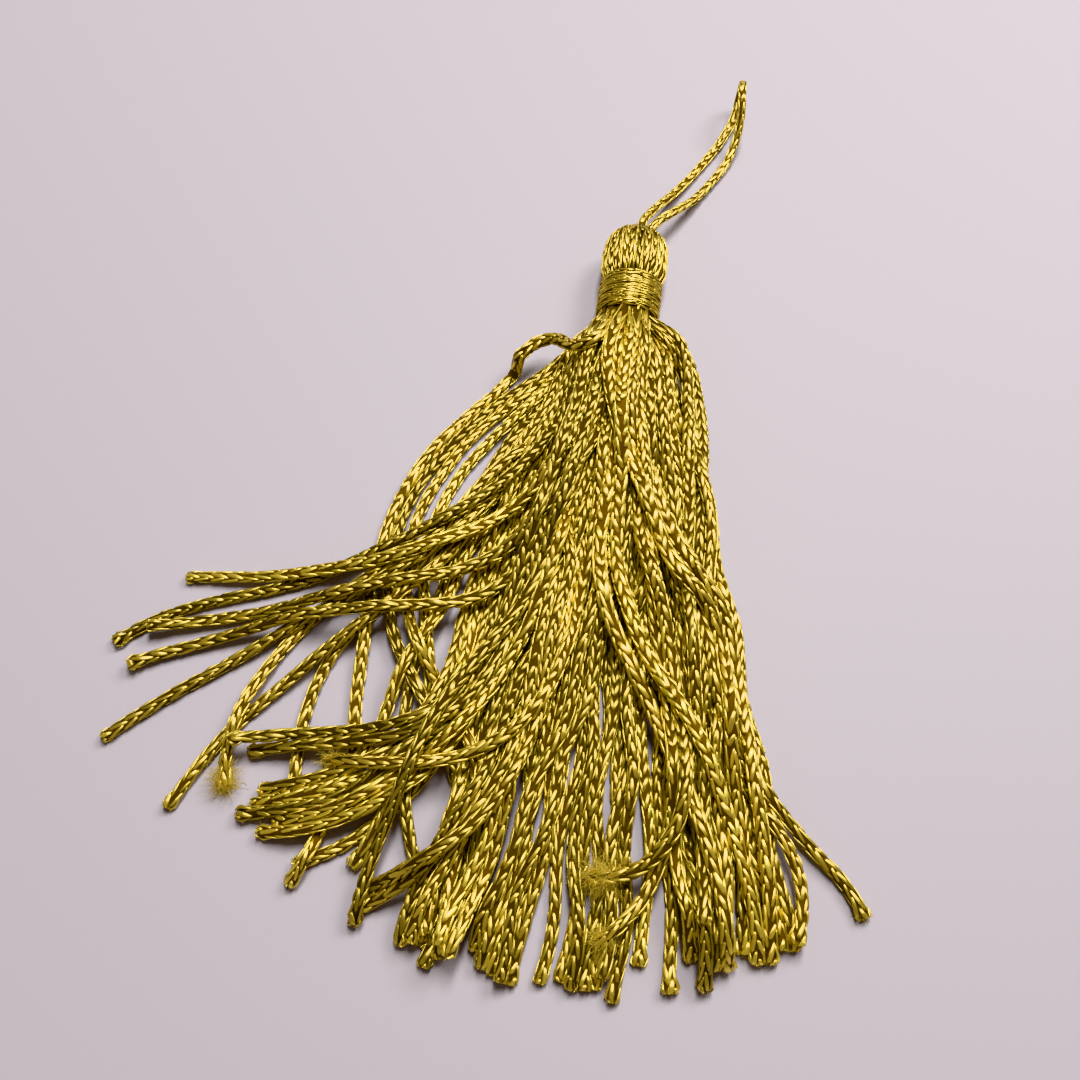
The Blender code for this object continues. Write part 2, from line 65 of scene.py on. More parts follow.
# --- Domed head: stations along its axis (mm) ------------------------------------------------
# y, radius over the strands
HEAD_PROFILE = (
    (2.40, 4.60),
    (3.20, 4.95),
    (4.60, 5.15),
    (6.50, 5.20),
    (8.60, 5.05),
    (10.2, 4.60),
    (11.5, 3.80),
    (12.4, 2.80),
    (12.9, 1.50),
)
CROWN_Y = 13.1

# --- Strands in the neck: rings of the squeezed bundle, from the outside in ------------------
# radius of the ring's centre line (mm), strands in it
NECK_RINGS = (
    (3.58, 28),
    (2.78, 20),
    (1.98, 14),
    (1.18, 8),
    (0.34, 3),
)

# --- Locks of strands ------------------------------------------------------------------------
# One row for each lock: how many strands run side by side, how high the lock lies in the heap
# (0 bottom, 1 top), the way it heads at the neck and after each fifth of its run, the distance
# between its strands, and the length from the neck to the cut end.
# A heading is in degrees from straight away from the head (-Y), positive towards +X.
# name, strands, level, h0, h1, h2, h3, h4, h5, spacing mm, length mm
LOCKS = (
    ("column_far",     1, 0.10,  -28,  -28,  -23,  -40,   -3,   14, 1.6,  92),
    ("column_mid",     1, 0.12,  -30,  -28,  -16,  -10,   10,   34, 1.6,  93),
    ("column_near",    1, 0.16,  -40,  -38,  -18,   18,   -3,  -30, 1.6,  94),
    ("left_edge",      2, 0.30,  -50,  -43,  -20,   14,   40,    0, 1.6,  94),
    ("slip",           1, 0.20,  -20,  -18,  -12,   -4,  -30,  -70, 1.6,  94),
    ("fan_low",        1, 0.50,  -27,  -26,  -33,  -52,  -50,  -46, 1.6,  95),
    ("fan_hook_far",   1, 0.44,  -27,  -28,  -31,  -50,  -20,   14, 1.6,  92),
    ("fan_hook_near",  1, 0.40,  -28,  -28,  -21,  -40,  -38,  -18, 1.6,  94),
    ("fan_top",        1, 0.76,  -12,  -14,  -38,  -64,  -78,  -84, 1.6,  82),
    ("fan_long",       1, 0.64,  -16,  -22,  -48,  -60,  -68,  -45, 1.6,  92),
    ("fan_level",      1, 0.84,  -10,   -8,  -34,  -70,  -68,  -76, 1.6,  93),
    ("fan_over",       1, 0.90,   -8,   -6,  -28,  -78,  -70,  -60, 1.6, 100),
    ("sweep_far",      1, 0.86,  -16,  -12,  -10,  -22,  -76,  -78, 1.6,  95),
    ("sweep_mid",      1, 0.80,  -12,  -10,   -8,  -18,  -76,  -76, 1.6,  95),
    ("sweep_back",     1, 0.88,   -2,    0,   -5,   -8,  -66, -104, 1.6,  93),
    ("sweep_low",      4, 0.60,  -19,  -17,  -13,   -6,  -49,  -84, 1.6,  95),
    ("sweep_near",     1, 0.68,   -8,   -8,   -8,  -24,  -48,  -78, 1.6,  96),
    ("toe_far",        1, 0.70,   -6,   -4,   -4,   -4,  -30,  -68, 1.6,  94),
    ("toe_near",       1, 0.72,   -6,   -5,   -4,   -5,  -25,  -66, 1.6,  95),
    ("cross_over",     1, 0.95,   -8,   -8,   -8,  -25,  -12,   -4, 1.6,  96),
    ("arch",           1, 0.98,   -8,  -26,  -34,   -6,    4,   12, 1.6,  96),
    ("inner_left",     3, 0.24,  -20,  -16,  -10,   -6,   -8,  -12, 1.7,  94),
    ("foot_a",         5, 0.50,   -8,   -4,   -5,  -13,  -18,  -12, 1.8,  94),
    ("foot_b",         5, 0.34,   -4,   -2,    0,   -7,  -10,   -8, 1.8,  95),
    ("foot_c",         6, 0.28,    0,    0,    2,    0,   -2,   -2, 1.8,  95),
    ("foot_d",         5, 0.40,    6,    5,    6,    7,    5,    3, 1.8,  95),
    ("foot_e",         4, 0.46,   14,   10,    8,   11,    9,    6, 1.8,  93),
    ("foot_f",         5, 0.36,   26,   15,    9,    8,    8,    4, 1.7,  91),
    ("foot_g",         3, 0.54,   42,   17,    8,    8,   11,    4, 1.6,  91),
    ("right_edge",     2, 0.66,   62,   10,    3,   10,    9,   -1, 1.6,  92),
    ("right_bow",      1, 0.58,   34,   15,   10,   15,   46,  -16, 1.6,  93),
    ("right_lone",     1, 0.56,   30,   15,   11,   21,   44,   30, 1.6,  93),
    ("diagonal",       2, 0.93,  -10,   19,   26,   12,   12,    4, 1.6,  94),
    ("diagonal_low",   2, 0.92,    0,    2,    8,   34,   24,    8, 1.6,  94),
    ("hook_frayed",    1, 0.97,    8,   11,   13,   17,   -4,  -96, 1.6,  90),
    ("hook_under",     1, 0.94,   10,   12,   14,   16,   -2,  -52, 1.6,  93),
    ("short_end",      1, 0.91,   -6,   -4,   -2,    2,    8,   20, 1.6,  36),
)

# Locks whose strands keep side by side, as the lone strands keep to their own lock
CLOSE_LOCKS = ("left_edge", "sweep_low", "right_edge", "diagonal", "diagonal_low")

# Turns tighter than the stations above: lock, where along it (mm), over what length (mm), degrees
KINKS = (
    ("arch",        13.5, 5.4, -112),
    ("right_edge",   3.0, 6.0,   10),
    ("diagonal",    46.0, 5.0,   27),
    ("right_lone",  84.0, 4.0,   10),
)

# Locks that change their height in the heap on their way: lock, from where (mm), level
DIVES = (
    ("arch",  0.0, 1.05),
    ("arch", 24.0, 0.14),
)

STEP = 1.0                  # distance between the points of a worked-out strand
SEED = 11

# --- How a strand strays from its lock -------------------------------------------------------
CUT_SPREAD = 1.2            # most that a strand is longer or shorter than its lock (mm)
WANDER = 9.0                # degrees by which a strand strays from its lock
LONE_WANDER = 2.0           # and by which a lone strand or one of a close lock strays
WANDER_RUN = 34.0           # run over which the straying grows (mm)
WAVE_SHORT = 16.0           # shortest and longest waves of the straying (mm)
WAVE_LONG = 32.0
SPACING_CHANCE = 0.35       # how unevenly they lie side by side, over their spacing
LEVEL_STEP = 0.012          # level between a lock's own strands
LEVEL_SPREAD = 0.08         # and the chance added to it

# --- From the neck to the surface (mm) -------------------------------------------------------
FLARE = 20.0                # run over which the strands of a lock spread from the neck
SWELL = 8.0                 # run over which a squeezed strand gets back its full size
DRAPE = 30.0                # run over which the heap falls from the neck to the surface
HEAP_HEIGHT = 7.0           # rough height of the heap just off the neck
HEAP_THINNING = 45.0        # run over which it falls to a third
TIER_STRANDS = 9            # strands in one layer of the neck
TIER_RUN = 14.0             # run at which a layer's strands are put in order from left to right

# --- Easing the strands apart ----------------------------------------------------------------
PACK_ROUNDS = 500           # times that the strands are eased apart
SINKING_SHARE = 0.8         # share of the rounds in which they also sink
PAIR_ROUNDS = 8             # rounds between two searches for neighbours
PAIR_REACH = 2.2            # distance within which strands can come to touch (mm)
CLOSEST = 1e-4              # points nearer than this are pushed as if this far apart (mm)
SINK_STEP = 0.05            # how far a strand sinks in a round (mm)
ROOM_SHARE = 1.12           # room that a strand keeps round itself, over its own size
CROSSING_SINE = 0.09        # strands at a sharper angle than this cross, one over the other
DEEP_SHARE = 0.3            # and so do two that share more than this of their room
MOST_LIFT = 0.4             # most that a crossing strand is lifted in a round (mm)
PUSH_LIMIT = 1.6            # pushes on one point that add up in full
EASING = 0.5                # how strongly a strand's bends are eased in a round
PLAN_PULL = 0.01            # share of its sideways move that a strand gives back in a round
FIXED_RUN = 0.5             # run at the root that never moves (mm)
FREEING_RUN = 5.0           # run over which a strand becomes free to move (mm)

# --- Hanging loop: route of the doubled cord, from crown to tip and back (mm) ----------------
LOOP_ROUTE = (
    (0.3, 13.5, 4.5),
    (0.5, 14.9, 4.3),
    (1.4, 17.4, 3.4),
    (3.0, 20.6, 2.5),
    (5.0, 24.4, 1.3),
    (7.0, 28.2, 0.8),
    (8.9, 31.8, 0.75),
    (10.6, 35.2, 0.75),
    (12.0, 38.6, 0.75),
    (13.0, 41.6, 0.75),
    (13.6, 44.2, 0.9),
    (13.9, 46.4, 1.9),
    (14.0, 47.2, 3.7),
    (14.0, 46.2, 5.7),
    (13.9, 44.0, 6.6),
    (14.1, 41.6, 5.9),
    (14.3, 39.4, 4.4),
    (14.1, 37.0, 2.7),
    (13.5, 34.4, 1.4),
    (12.6, 31.8, 0.85),
    (11.2, 28.9, 0.75),
    (9.6, 25.8, 0.9),
    (7.9, 22.6, 1.6),
    (6.0, 19.6, 2.8),
    (4.2, 17.0, 3.6),
    (2.9, 15.0, 4.3),
    (2.1, 13.4, 4.5),
)


def smoothstep(value):
    value = np.clip(value, 0.0, 1.0)
    return value * value * (3.0 - 2.0 * value)


def interpolate_stations(stations, places):
    """Smooth (Catmull-Rom) reading of evenly spaced values at places from 0 to 1."""
    values = np.array([2 * stations[0] - stations[1], *stations, 2 * stations[-1] - stations[-2]])
    u = np.clip(places, 0.0, 1.0) * (len(stations) - 1)
    index = np.minimum(u.astype(int), len(stations) - 2)
    t = u - index
    a, b, c, d = (values[index + k] for k in range(4))
    return 0.5 * (2 * b + (c - a) * t + (2 * a - 5 * b + 4 * c - d) * t**2
                  + (3 * b - a - 3 * c + d) * t**3)


def neck_slots():
    """Places (x, z) of the strands where they leave the binding, lowest first."""
    slots = []
    for radius, count in NECK_RINGS:
        for k in range(count):
            angle = 2 * math.pi * (k + 0.5) / count
            height = AXIS_HEIGHT - radius * HEIGHT_SHARE * math.cos(angle)
            slots.append((radius * math.sin(angle), height))
    return sorted(slots, key=lambda slot: slot[1])


def lock_plan(lock, rng):
    """Plans (x, y) of one lock's strands on the surface, with their levels."""
    name, strands, level, *stations, spacing, length = lock
    plans = []
    for k in range(strands):
        run = length + rng.uniform(-CUT_SPREAD, CUT_SPREAD)
        s = np.arange(0.0, run, STEP)
        heading = interpolate_stations(stations, s / length)
        for kink_name, at, over, turn in KINKS:
            if kink_name == name:
                heading = heading + turn * np.exp(-(((s - at) / over) ** 2))
        phase = rng.uniform(0.0, 2 * math.pi)
        wave = rng.uniform(WAVE_SHORT, WAVE_LONG)
        wander = LONE_WANDER if strands == 1 or name in CLOSE_LOCKS else WANDER
        stray = rng.uniform(-wander, wander) * smoothstep(s / WANDER_RUN)
        heading = heading + stray + wander * np.sin(phase + 2 * math.pi * s / wave)
        angle = np.radians(heading)
        x = np.concatenate(([0.0], np.cumsum(np.sin(angle))[:-1])) * STEP
        y = np.concatenate(([0.0], -np.cumsum(np.cos(angle))[:-1])) * STEP
        place = k - (strands - 1) / 2 + rng.uniform(-SPACING_CHANCE, SPACING_CHANCE)
        side = spacing * place * smoothstep(s / FLARE)
        x = x + side * np.cos(angle)
        y = y + side * np.sin(angle)
        rank = level + LEVEL_STEP * k + rng.uniform(-LEVEL_SPREAD, LEVEL_SPREAD)
        plans.append((rank, s, x, y, name))
    return plans


def first_heights(strands):
    """Rough heights before packing: the strands' order kept, sinking towards the surface."""
    for strand in strands:
        s = strand["s"]
        grown = smoothstep(s / SWELL)
        strand["width"] = NECK_STRAND + (STRAND_WIDTH - NECK_STRAND) * grown
        strand["thick"] = NECK_STRAND + (STRAND_THICK - NECK_STRAND) * grown
        sunk = smoothstep(s / DRAPE)
        heap = HEAP_HEIGHT * np.exp(-s / HEAP_THINNING)
        floor_side = strand["thick"] / 2 + strand["order"] * heap
        strand["z"] = strand["slot"][1] * (1 - sunk) + floor_side * sunk


def close_pairs(points, owner, reach):
    """Index pairs of points of different strands that lie within reach of each other."""
    tree = KDTree(len(points))
    for index, point in enumerate(points):
        tree.insert(point, index)
    tree.balance()
    first, second = [], []
    for index, point in enumerate(points):
        for _, other, _ in tree.find_range(point, reach):
            if other > index and owner[other] != owner[index]:
                first.append(index)
                second.append(other)
    return np.array(first), np.array(second)


def padded_rows(strands, key, count):
    """One value of every strand as rows of the same length, each end value repeated."""
    rows = []
    for strand in strands:
        short = count - len(strand["s"])
        widths = ((0, short),) + ((0, 0),) * (strand[key].ndim - 1)
        rows.append(np.pad(strand[key], widths, mode="edge"))
    return np.array(rows)


def pair_pushes(points, order, room, heading, first, second):
    """How far each point is pushed off its neighbours: apart, or over and under at a crossing."""
    between = points[first] - points[second]
    apart = np.maximum(np.linalg.norm(between, axis=1), CLOSEST)
    needed = room[first] + room[second]
    overlap = np.clip(needed - apart, 0.0, None)
    push = between * (overlap / apart * 0.5)[:, None]
    turned = heading[first, 0] * heading[second, 1] - heading[first, 1] * heading[second, 0]
    crossing = (np.abs(turned) > CROSSING_SINE) | (overlap > DEEP_SHARE * needed)
    level = np.hypot(between[:, 0], between[:, 1])
    rise = np.sqrt(np.clip(needed**2 - level**2, 0.0, None))
    upper = np.where(order[first] > order[second], 1.0, -1.0)
    lift = np.clip(rise - upper * between[:, 2], 0.0, MOST_LIFT) * (rise > 0)
    push[crossing] = 0.0
    push[crossing, 2] = 0.5 * (upper * lift)[crossing]
    touching = np.where(crossing, lift, overlap) > 0
    count = len(points)
    total = np.zeros_like(points)
    for axis in range(3):
        total[:, axis] += np.bincount(first, push[:, axis], count)
        total[:, axis] -= np.bincount(second, push[:, axis], count)
    touches = np.bincount(first, touching, count) + np.bincount(second, touching, count)
    return total * (PUSH_LIMIT / np.maximum(touches, PUSH_LIMIT))[:, None]


def pack_strands(strands):
    """Ease strands apart, and down, until each lies on the surface or on its neighbours."""
    count = max(len(strand["s"]) for strand in strands)
    shape = (len(strands), count)
    present = np.array([np.arange(count) < len(strand["s"]) for strand in strands])
    last = present & ~np.roll(present, -1, axis=1)
    inside = present.ravel()
    run = np.arange(count) * STEP
    free = smoothstep((run - FIXED_RUN) / FREEING_RUN)[None, :, None]
    loose = smoothstep(run / FLARE)[None, :]

    thick = padded_rows(strands, "thick", count)
    width = padded_rows(strands, "width", count)
    plan = np.dstack((padded_rows(strands, "xy", count), padded_rows(strands, "z", count)))
    lowest_move = thick / 2 - plan[:, :, 2]
    room = ((width + thick) / 4 * ROOM_SHARE).ravel()[inside]
    owner = np.repeat(np.arange(shape[0]), count)[inside]
    order = padded_rows(strands, "order", count).ravel()[inside]
    heading = np.gradient(plan[:, :, :2], axis=1)
    heading /= np.maximum(np.linalg.norm(heading, axis=2, keepdims=True), TINY)
    heading = heading.reshape(-1, 2)[inside]

    moved = np.zeros(shape + (3,))
    for step in range(PACK_ROUNDS):
        points = (plan + moved).reshape(-1, 3)[inside]
        if step % PAIR_ROUNDS == 0:
            first, second = close_pairs(points, owner, PAIR_REACH)
        move = np.zeros((shape[0] * count, 3))
        move[inside] = pair_pushes(points, order, room, heading, first, second)
        move = move.reshape(shape + (3,))
        sinking = step < PACK_ROUNDS * SINKING_SHARE
        if sinking:
            move[:, :, 2] -= SINK_STEP * loose
        moved += move * free
        if sinking:
            moved[:, :, :2] *= 1.0 - PLAN_PULL
        bend = 0.5 * (np.roll(moved, 1, axis=1) + np.roll(moved, -1, axis=1)) - moved
        bend[:, 0] = 0.0
        bend[last] = 0.0
        moved += EASING * bend * free
        moved[:, :, 2] = np.maximum(moved[:, :, 2], lowest_move)
    for row, strand in enumerate(strands):
        length = len(strand["s"])
        final = plan[row, :length] + moved[row, :length]
        strand["xy"] = final[:, :2]
        strand["z"] = final[:, 2]


def strand_routes():
    """All strands from the neck to their cut ends, as rows of points, widths and heights."""
    rng = random.Random(SEED)
    plans = [plan for lock in LOCKS for plan in lock_plan(lock, rng)]
    plans.sort(key=lambda plan: plan[0])
    slots = neck_slots()[-len(plans):]
    strands = []
    for start in range(0, len(plans), TIER_STRANDS):
        tier = plans[start:start + TIER_STRANDS]
        tier.sort(key=lambda plan: plan[2][int(TIER_RUN / STEP)])
        tier_slots = sorted(slots[start:start + TIER_STRANDS])
        for (_, s, x, y, name), slot in zip(tier, tier_slots):
            keep = 1.0 - smoothstep(s / FLARE)
            xy = np.column_stack((x + slot[0] * keep, y + BINDING_FOOT - GAP))
            strands.append({"name": name, "s": s, "xy": xy, "slot": slot})
    strands.sort(key=lambda strand: strand["slot"][1])
    for rank, strand in enumerate(strands):
        strand["order"] = np.full(len(strand["s"]), rank / (len(strands) - 1))
        for dive_name, start, level in DIVES:
            if dive_name == strand["name"]:
                strand["order"][strand["s"] > start] = level
    first_heights(strands)
    pack_strands(strands)
    return strands


def smooth_path(route, spacing):
    """Points at even spacing on a smooth curve through the route's points."""
    route = np.array(route)
    ends = np.vstack((2 * route[0] - route[1], route, 2 * route[-1] - route[-2]))
    fine = []
    for a, b, c, d in zip(ends, ends[1:], ends[2:], ends[3:]):
        for t in np.linspace(0.0, 1.0, CURVE_SUBSTEPS, endpoint=False):
            fine.append(0.5 * (2 * b + (c - a) * t + (2 * a - 5 * b + 4 * c - d) * t**2
                               + (3 * b - a - 3 * c + d) * t**3))
    fine.append(route[-1])
    fine = np.array(fine)
    run = np.concatenate(([0.0], np.cumsum(np.linalg.norm(np.diff(fine, axis=0), axis=1))))
    places = np.linspace(0.0, run[-1], int(round(run[-1] / spacing)) + 1)
    return np.column_stack([np.interp(places, run, fine[:, axis]) for axis in range(3)])


# --- Knitted cords (mm) ----------------------------------------------------------------------
WALES = 3                   # columns of stitches round a cord
PITCH = 2.05                # length of one stitch in the skirt and the loop
HEAD_PITCH = 2.5            # in the head, where the cords are drawn tight
BINDING_PITCH = 2.1         # and in the binding
PITCH_CHANCE = 0.08         # most that a cord's stitches are longer or shorter, over their length
MOST_TWIST = 0.10           # most that a cord's wales turn round it in 1 mm (radians)
NECK_STRETCH = 1.0          # how much the skirt's stitches are drawn out at the neck
STRETCH_RUN = 8.0           # and the run over which that is lost
WALE_SHIFT = 0.5            # how far a wale's stitches lie ahead of its neighbour's (stitches)
LEG_SHIFT = 0.18            # and one leg of a stitch ahead of the other
CORE_SHARE = 0.82           # a cord's middle, painted dark as shade, its size over the cord's own size
CORE_SIDES = 8
CORE_PITCH = 1.2            # distance between the rings of that middle (stitches)
GRAIN_STEP = 0.1            # short step for reading a direction on a cord (radians or stitches)
BINDING_TONE = 0.5          # how light the binding is, from 0 to 1
LOOP_TONE = 0.8             # and the loop; in the skirt and the head it is left to chance

# --- One leg of a stitch, here called a leaf -------------------------------------------------
# along the cord (stitches), round it (radians), out from its axis (half sizes of the cord),
# half width (radians), half thickness (half sizes of the cord)
LEAF = (
    (-0.26, 0.06, 0.60, 0.00, 0.00),
    (0.02, 0.21, 0.87, 0.26, 0.12),
    (0.46, 0.47, 0.91, 0.36, 0.12),
    (0.90, 0.72, 0.87, 0.27, 0.12),
    (1.26, 0.91, 0.60, 0.00, 0.00),
)

# Its cross-section: across (over its half width), out (over its half thickness)
LEAF_RING = (
    (1.00, -0.20),
    (0.60, 0.90),
    (-0.60, 0.90),
    (-1.00, -0.20),
    (0.00, -1.00),
)

LEAF_LEAN = 0.46            # how far the yarn turns round the cord in one stitch (radians)
LEAF_MIDDLE = 0.45          # place along a leaf where it keeps still when stretched or tilted
LEAF_TILTED = 0.6           # how far from there its tilt still grows
LEAF_DARK = 0.66            # height in the cord up to which a leaf is painted dark, as shade
LEAF_LIGHTENS = 0.24        # and over which that painted shade gives way to its light face

# How leaves differ, each by chance with this spread
LEAF_LOOSE = 0.09           # where a leaf lies, in stitches along and radians round
LEAF_SLANT = 0.16           # its turn round the cord, over the turn in the table
LEAF_LIFT = 0.06            # how far one end of it stands off the cord and the other dips
LIFT_SHARE = 0.3            # and how much of that the whole leaf stands off
LEAF_SIZE = 0.18            # its length, over the length in the table
LEAF_ROCK = 0.14            # how its face is rocked to one side
LEAF_TONE = 0.17            # how light it is

# --- Cut ends (mm) ---------------------------------------------------------------------------
END_ROUND = 0.5             # length over which a cut end is rounded over
END_SHUT = 0.75             # how far the rounding goes: 0 leaves the end square, 1 closes it
END_RINGS = (1.0, 0.45, 0.15)       # rings of the middle, painted dark as shade, there, over END_ROUND
END_ROOM = 0.3              # clear distance between these rings and the ones before
END_PALE = 1.0              # how far the shade painted on the middle gives way to the light face where it is cut
END_LIGHT = 0.35            # how much lighter the last stitches are
END_LIGHT_RUN = 1.8         # and over what run
END_OPENING = (0.10, 0.50)  # least and most that a cut end opens, over the cord's size
OPENING_RUN = 2.0           # how far from the end the opening starts
OPENING_GROWTH = 1.4        # and the run over which it grows

# --- Loose fibres (mm) -----------------------------------------------------------------------
FIBRE = 0.015               # half width of a fibre
FIBRE_SIDES = 3
FIBRE_JOINTS = 6            # straight stretches in a fibre
FIBRE_BEND = 0.30           # spread of the steady bend that a fibre has at each joint
FIBRE_CRIMP = 0.42          # and of the chance bend besides
FIBRE_DROOP = 0.05          # how much it drops at each joint
FIBRE_DEPTH = 0.8           # how much of the yarn's light face it shows
FIBRE_TONES = (0.3, 1.0)    # darkest and lightest fibre
FIBRE_LENGTHS = (0.3, 1.0)  # shortest and longest, over the reach of their frayed end
FRAY_WIDTH = 0.95           # where fibres start: how far out, over the cord's half size
FRAY_BACK = 0.2             # how far back from the cut end at least
FRAY_DEPTH = 0.9            # and how much further at most, over their reach
CUT_FRAY = (14, 1.1, 25)    # at every cut end: fibres, their reach, their turn (as below)

# Frayed ends: lock, fibres, how far they reach (mm), how far they turn off the cord (degrees)
FRAYS = (
    ("fan_hook_far", 520, 3.2, 38),
    ("hook_frayed", 640, 4.2, 42),
    ("hook_under", 300, 3.0, 38),
    ("sweep_back", 240, 2.8, 38),
    ("short_end", 320, 3.0, 42),
    ("right_lone", 60, 1.6, 25),
)

# --- How full the skirt's strands are drawn --------------------------------------------------
PIECE_STRANDS = 12          # strands in one piece of the skirt
ROOT_REACH = 1.6            # how far a strand runs up under the binding (mm)
FULLNESS = 1.08             # a strand's size here, over its size in the tables
BOLD = 0.16                 # what is added to that on top of the heap
BOLD_ORDER = 0.45           # where the top of the heap begins
BOLD_SPAN = 0.35            # and the share of the heap over which it grows
BOLD_RUN = 40.0             # run to which it lasts, and over which it then fades (mm)
BOLD_LOCKS = ("arch", "diagonal", "diagonal_low", "hook_frayed", "short_end")
LOCK_BOLD = 0.12            # what these locks have besides
NECK_SWELL = 0.8            # how much wider a shown strand is than its solid at the neck (mm)
SWELL_HEIGHT = 0.5          # and higher, over how much wider
RING_TOLERANCE = 0.1        # a slot this near the neck's outer ring is on it (mm)

# --- Head, binding and loop (mm) -------------------------------------------------------------
ROUTE_STEP = 0.5            # distance between the points of a drawn route
HEAD_CORDS = 24             # cords seen round the head
HEAD_CORD_HALF = 0.6        # half height of one
HEAD_OVERLAP = 1.1          # its width, over its share of the way round
HEAD_HALF_WIDTHS = (0.2, 0.82)      # its least and most half width
HEAD_START = (BINDING_TOP - 0.6, 4.3)   # y and radius of the cords' start under the binding
HEAD_END = (CROWN_Y - 0.1, 0.4)     # and of their end at the crown
HEAD_LEAST_RADIUS = 0.1     # nearest that a cord's centre line comes to the axis
CROWN_TURN = 9.5            # y from which the cords turn in, and the run over which they do
CROWN_TURN_RUN = 3.0
BINDING_CORD = 1.0          # the thread that is wound round the neck, across
BINDING_HALF_HEIGHT = 0.36  # its half height, over that
BINDING_OVERLAP = 1.1       # its width as drawn, over that
BINDING_STEPS = 48          # points in one turn
BINDING_WAVE = 0.10         # how far the turns stray along the neck
BINDING_WAVES = 2.3         # how many times in one turn
BINDING_PHASE = 1.0         # and from what part of a wave (radians)
LOOP_TUCK = 1.6             # how far the loop is drawn on, out of sight inside the head
TUCK_POINTS = (1.0, 0.67, 0.33)     # points of that stretch, over its length

# Body inside head and neck, painted dark as shade: y, radius
BODY_LINE = (
    (-9.0, 2.0), (-7.0, 3.2), (-5.0, 3.9), (-2.0, 4.0), (2.0, 4.0), (4.0, 4.2),
    (7.0, 4.3), (9.5, 3.8), (11.2, 2.7), (12.2, 1.2),
)
BODY_SIDES = 40

# --- Yarns -----------------------------------------------------------------------------------
# colour of the light face, colour painted in the hollows as shade, roughness of the face,
# metallic
CORD_YARN = ((0.90, 0.695, 0.165), (0.125, 0.066, 0.004), 0.39, 0.85)
BINDING_YARN = ((0.86, 0.655, 0.145), (0.115, 0.06, 0.003), 0.37, 0.85)
FIBRE_YARN = ((0.78, 0.60, 0.14), (0.5, 0.38, 0.08), 0.6, 0.2)
TONES = (0.50, 1.26)        # brightness of a yarn at tone 0 and at tone 1
HOLLOW_ROUGHNESS = 0.85     # roughness where the yarn is deep inside a cord
YARN_SPECULAR = 0.3
YARN_ANISOTROPY = 0.85
MIX_SHARE, MIX_LOW, MIX_HIGH, MIX_RESULT = 0, 6, 7, 2   # a Mix node's sockets for colours

# --- Stage, lights and camera (metres, watts, degrees) ---------------------------------------
FLOOR_HALF = 1.5
FLOOR_DROP = 0.00005        # how far the floor lies below the part
FLOOR_COLOUR = (0.415, 0.382, 0.430, 1.0)
FLOOR_ROUGHNESS = 0.6
FLOOR_SPECULAR = 0.3
SKY_COLOUR = (1.0, 0.87, 0.75, 1.0)
SKY_STRENGTH = 0.24
# name, place, aimed at, size, power, colour
LIGHTS = (
    ("window", (0.50, 0.55, 0.72), (0.0, -0.03, 0.0), (0.40, 0.40), 6.6, (1.0, 0.99, 0.95)),
    ("ceiling", (0.02, 0.42, 0.95), (0.0, -0.05, 0.0), (0.22, 0.60), 12.2, (1.0, 0.99, 0.96)),
)
CAMERA_PLACE = (0.0024, -0.1100, 0.138)
CAMERA_TILT = 26.5          # away from straight down
CAMERA_TURN = 8.5           # anticlockwise, seen from above
CAMERA_LENS = 36.5          # focal length and sensor width (mm)
CAMERA_SENSOR = 36.0
CAMERA_NEAR = 0.005


def add_object(name, data):
    thing = bpy.data.objects.new(name, data)
    bpy.context.collection.objects.link(thing)
    return thing


class Stock:
    """Points and faces gathered for one piece, with tone, depth and grain for every point.

    Tone says how light the yarn is, depth how much of its light face shows over the shade
    painted into the hollows of a cord (0 there), and grain which way lies across the yarn.
    """

    def __init__(self):
        self.points, self.tone, self.depth, self.grain = [], [], [], []
        self.corners, self.sizes = [], []
        self.count = 0

    def add(self, points, faces, tone, depth, grain=(1.0, 0.0, 0.0)):
        points = np.asarray(points).reshape(-1, 3)
        self.points.append(points)
        self.grain.append(np.broadcast_to(grain, points.shape))
        self.tone.append(np.broadcast_to(tone, len(points)))
        self.depth.append(np.broadcast_to(depth, len(points)))
        for corners in faces:
            self.corners.append((corners + self.count).ravel())
            self.sizes.append(np.full(len(corners), corners.shape[1]))
        self.count += len(points)

    def piece(self, name, material):
        """The gathered mesh as an object."""
        points = np.concatenate(self.points) * MM
        corners = np.concatenate(self.corners)
        sizes = np.concatenate(self.sizes)
        mesh = bpy.data.meshes.new(name)
        mesh.vertices.add(len(points))
        mesh.vertices.foreach_set("co", points.ravel().astype(np.float32))
        mesh.loops.add(len(corners))
        mesh.loops.foreach_set("vertex_index", corners.astype(np.int32))
        mesh.polygons.add(len(sizes))
        starts = np.concatenate(([0], np.cumsum(sizes)[:-1]))
        mesh.polygons.foreach_set("loop_start", starts.astype(np.int32))
        mesh.polygons.foreach_set("use_smooth", np.ones(len(sizes), dtype=bool))
        for label, values in (("tone", self.tone), ("depth", self.depth)):
            layer = mesh.attributes.new(label, "FLOAT", "POINT")
            layer.data.foreach_set("value", np.concatenate(values).astype(np.float32))
        layer = mesh.attributes.new("grain", "FLOAT_VECTOR", "POINT")
        layer.data.foreach_set("vector", np.concatenate(self.grain).ravel().astype(np.float32))
        mesh.update(calc_edges=True)
        mesh.validate()
        mesh.materials.append(material)
        return add_object(name, mesh)


